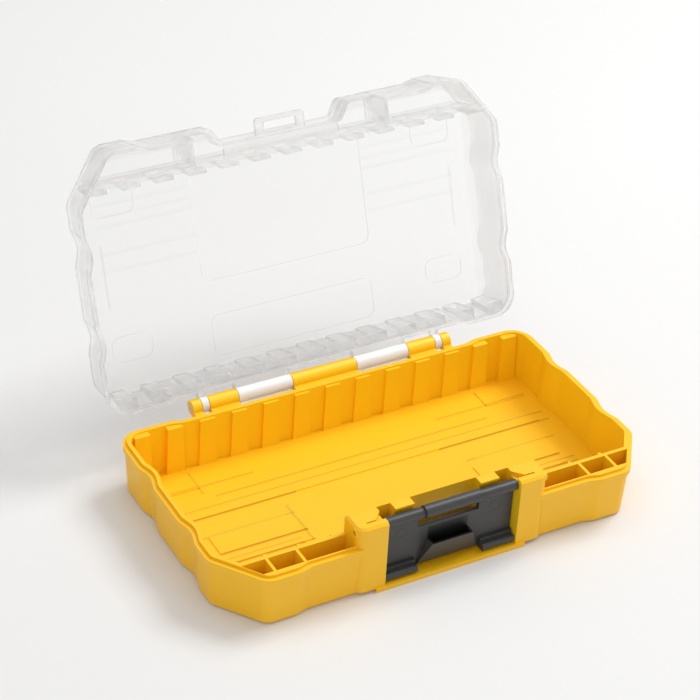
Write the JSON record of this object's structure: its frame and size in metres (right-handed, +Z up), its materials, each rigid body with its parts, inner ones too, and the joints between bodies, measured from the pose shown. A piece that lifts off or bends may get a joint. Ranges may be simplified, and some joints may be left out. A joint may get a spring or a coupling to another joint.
{
  "type": "hinged storage case",
  "caption": "Flat bit case: moulded tray with ribbed walls and small front cells, a clear hinged lid standing open, and a front latch on a cross pin.",
  "frame": {"origin": "centre of the tray's underside, on the surface it stands on", "axes": "+X across the case's width, -Y towards the latch, +Y towards the hinge, +Z up"},
  "size_m": [0.24, 0.2091, 0.1602],
  "materials": {
    "tray_plastic": "satin, finely textured",
    "clear_plastic": "clear, polished",
    "latch_plastic": "satin",
    "pin_steel": "drawn wire"
  },
  "bodies": {
    "base": {"base_tray": "tray_plastic", "hinge_pin": "pin_steel", "latch_pin": "pin_steel"},
    "lid": {"lid": "clear_plastic"},
    "latch": {"latch": "latch_plastic"}
  },
  "joints": [
    {"name": "lid_hinge", "type": "hinge", "parent": "base", "child": "lid", "pos_m": [0, 0.0717, 0.0294], "axis": [1, 0, 0], "range_deg": [0, 109.5]},
    {"name": "latch_pivot", "type": "hinge", "parent": "base", "child": "latch", "pos_m": [0, -0.0605, 0.0367], "axis": [-1, 0, 0], "range_deg": [0, 110]}
  ]
}
